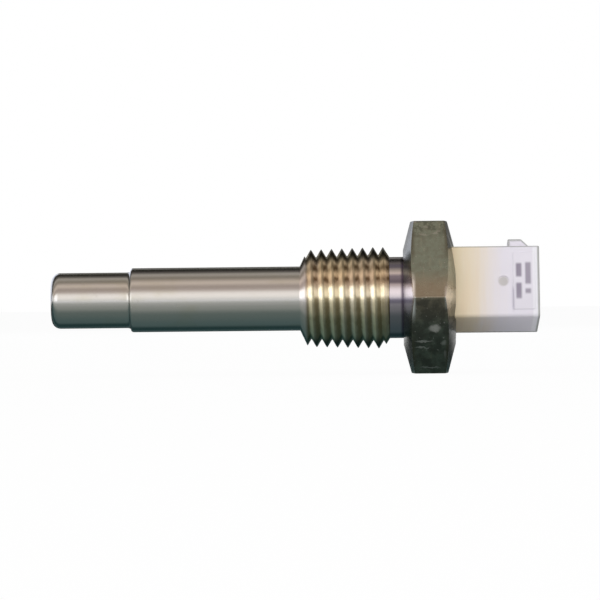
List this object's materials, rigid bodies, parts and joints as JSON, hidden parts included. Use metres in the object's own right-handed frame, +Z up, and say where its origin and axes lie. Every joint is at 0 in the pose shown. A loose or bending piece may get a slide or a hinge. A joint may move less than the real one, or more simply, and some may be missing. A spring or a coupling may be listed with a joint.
{
  "type": "screw-in resistance temperature probe with connector head",
  "caption": "Screw-in resistance temperature probe: stepped steel stem, taper pipe thread and hexagon, with a moulded latching connector head.",
  "frame": {"origin": "on the probe's axis at the gauge plane of the taper thread, where the face of a port stands when the probe is hand tight", "axes": "+X along the probe from its tip to its connector, +Z up, square to the hexagon's lowest flat"},
  "size_m": [0.0665, 0.0238, 0.0206],
  "materials": {
    "steel": "fine turned, satin on the hexagon's flats",
    "ivory_plastic": "moulded, semi gloss",
    "tinned_brass": "bright tin plate",
    "gasket_rubber": "matt",
    "alumina": "matt fired",
    "glaze": "glossy fired glass",
    "nickel_lead": "drawn wire",
    "sleeve_brass": "plain crimped",
    "copper_wire": "bare drawn wire",
    "red_jacket": "extruded",
    "white_jacket": "extruded",
    "liner_plastic": "extruded",
    "potting": "cast resin",
    "filler": "packed powder in paste"
  },
  "bodies": {
    "root": {"probe_body": "steel", "connector_housing": "ivory_plastic", "contact_blade_left": "tinned_brass", "contact_blade_right": "tinned_brass", "header_gasket": "gasket_rubber", "sensing_chip": "alumina", "chip_glaze": "glaze", "chip_lead_left": "nickel_lead", "chip_lead_right": "nickel_lead", "twin_bore_insulator": "alumina", "splice_sleeve_left": "sleeve_brass", "splice_sleeve_right": "sleeve_brass", "lead_wire_left": "copper_wire", "lead_wire_right": "copper_wire", "wire_jacket_left": "red_jacket", "wire_jacket_right": "white_jacket", "blade_ferrule_left": "sleeve_brass", "blade_ferrule_right": "sleeve_brass", "liner_tube": "liner_plastic", "lead_spacer": "liner_plastic", "potting_plug": "potting", "thermal_filler": "filler"}
  },
  "joints": []
}
